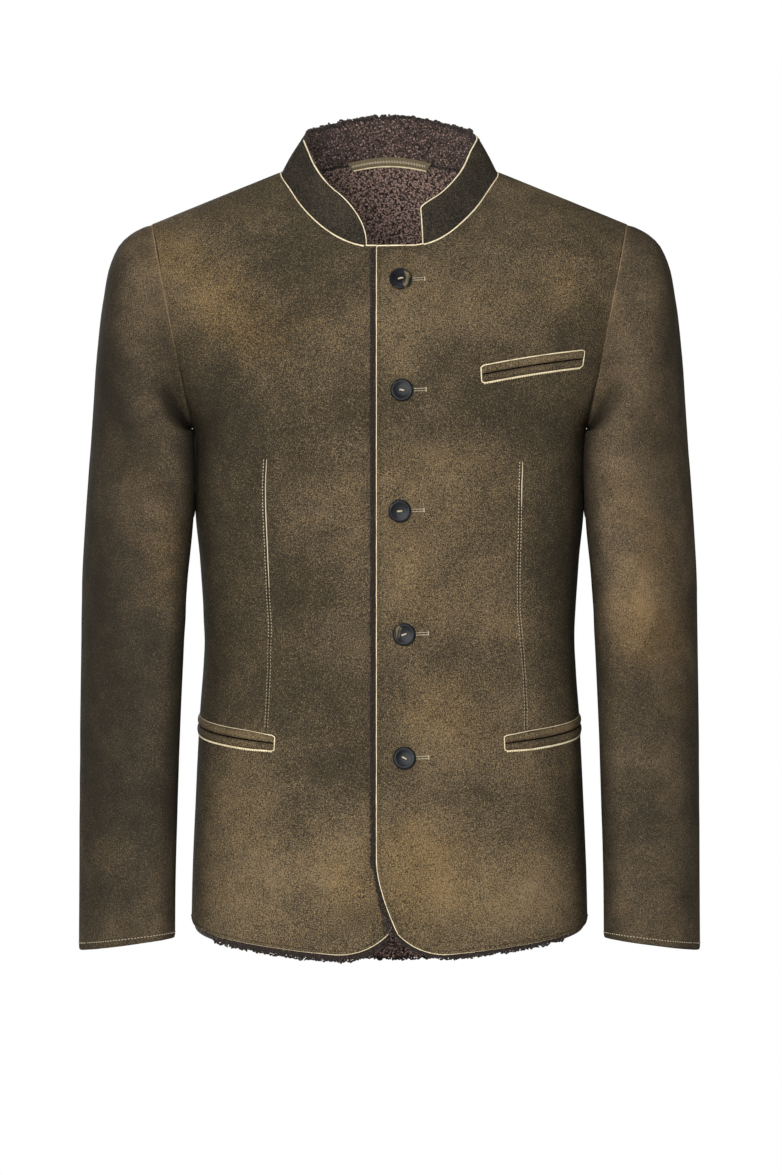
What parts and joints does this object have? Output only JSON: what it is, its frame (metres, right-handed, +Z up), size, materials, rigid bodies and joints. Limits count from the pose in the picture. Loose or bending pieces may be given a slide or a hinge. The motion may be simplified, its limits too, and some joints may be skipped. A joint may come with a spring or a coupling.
{
  "type": "leather jacket",
  "caption": "Suede shearling jacket with a stand collar, button front, welt pockets and rounded front corners, held open as worn with no wearer.",
  "frame": {"origin": "middle of the neck base, level with the inner ends of the shoulder lines, where a wearer's shoulders carry the jacket", "axes": "+Z up, -Y to the front, +X to the wearer's left"},
  "size_m": [0.5698, 0.2608, 0.7803],
  "materials": {
    "suede_body": "mottled olive-brown suede with cream cut edges",
    "suede_sleeve": "mottled olive-brown suede, darker",
    "suede_collar": "dark olive suede",
    "shearling": "short curly dark brown wool",
    "tape": "olive woven tape with zigzag stitching",
    "horn": "dark polished horn"
  },
  "bodies": {
    "root": {"front_left": "suede_body", "front_right": "suede_body", "back": "suede_body", "sleeve_left": "suede_sleeve", "sleeve_right": "suede_sleeve", "collar": "suede_collar", "pocket_left_upper_welt": "suede_collar", "pocket_left_lower_welt": "suede_collar", "pocket_right_upper_welt": "suede_collar", "pocket_right_lower_welt": "suede_collar", "chest_pocket_upper_welt": "suede_collar", "chest_pocket_lower_welt": "suede_collar", "lining_front_left": "shearling", "lining_front_right": "shearling", "lining_back": "shearling", "lining_collar": "shearling", "neck_tape": "tape", "button_1": "horn", "button_2": "horn", "button_3": "horn", "button_4": "horn", "button_5": "horn"}
  },
  "joints": []
}
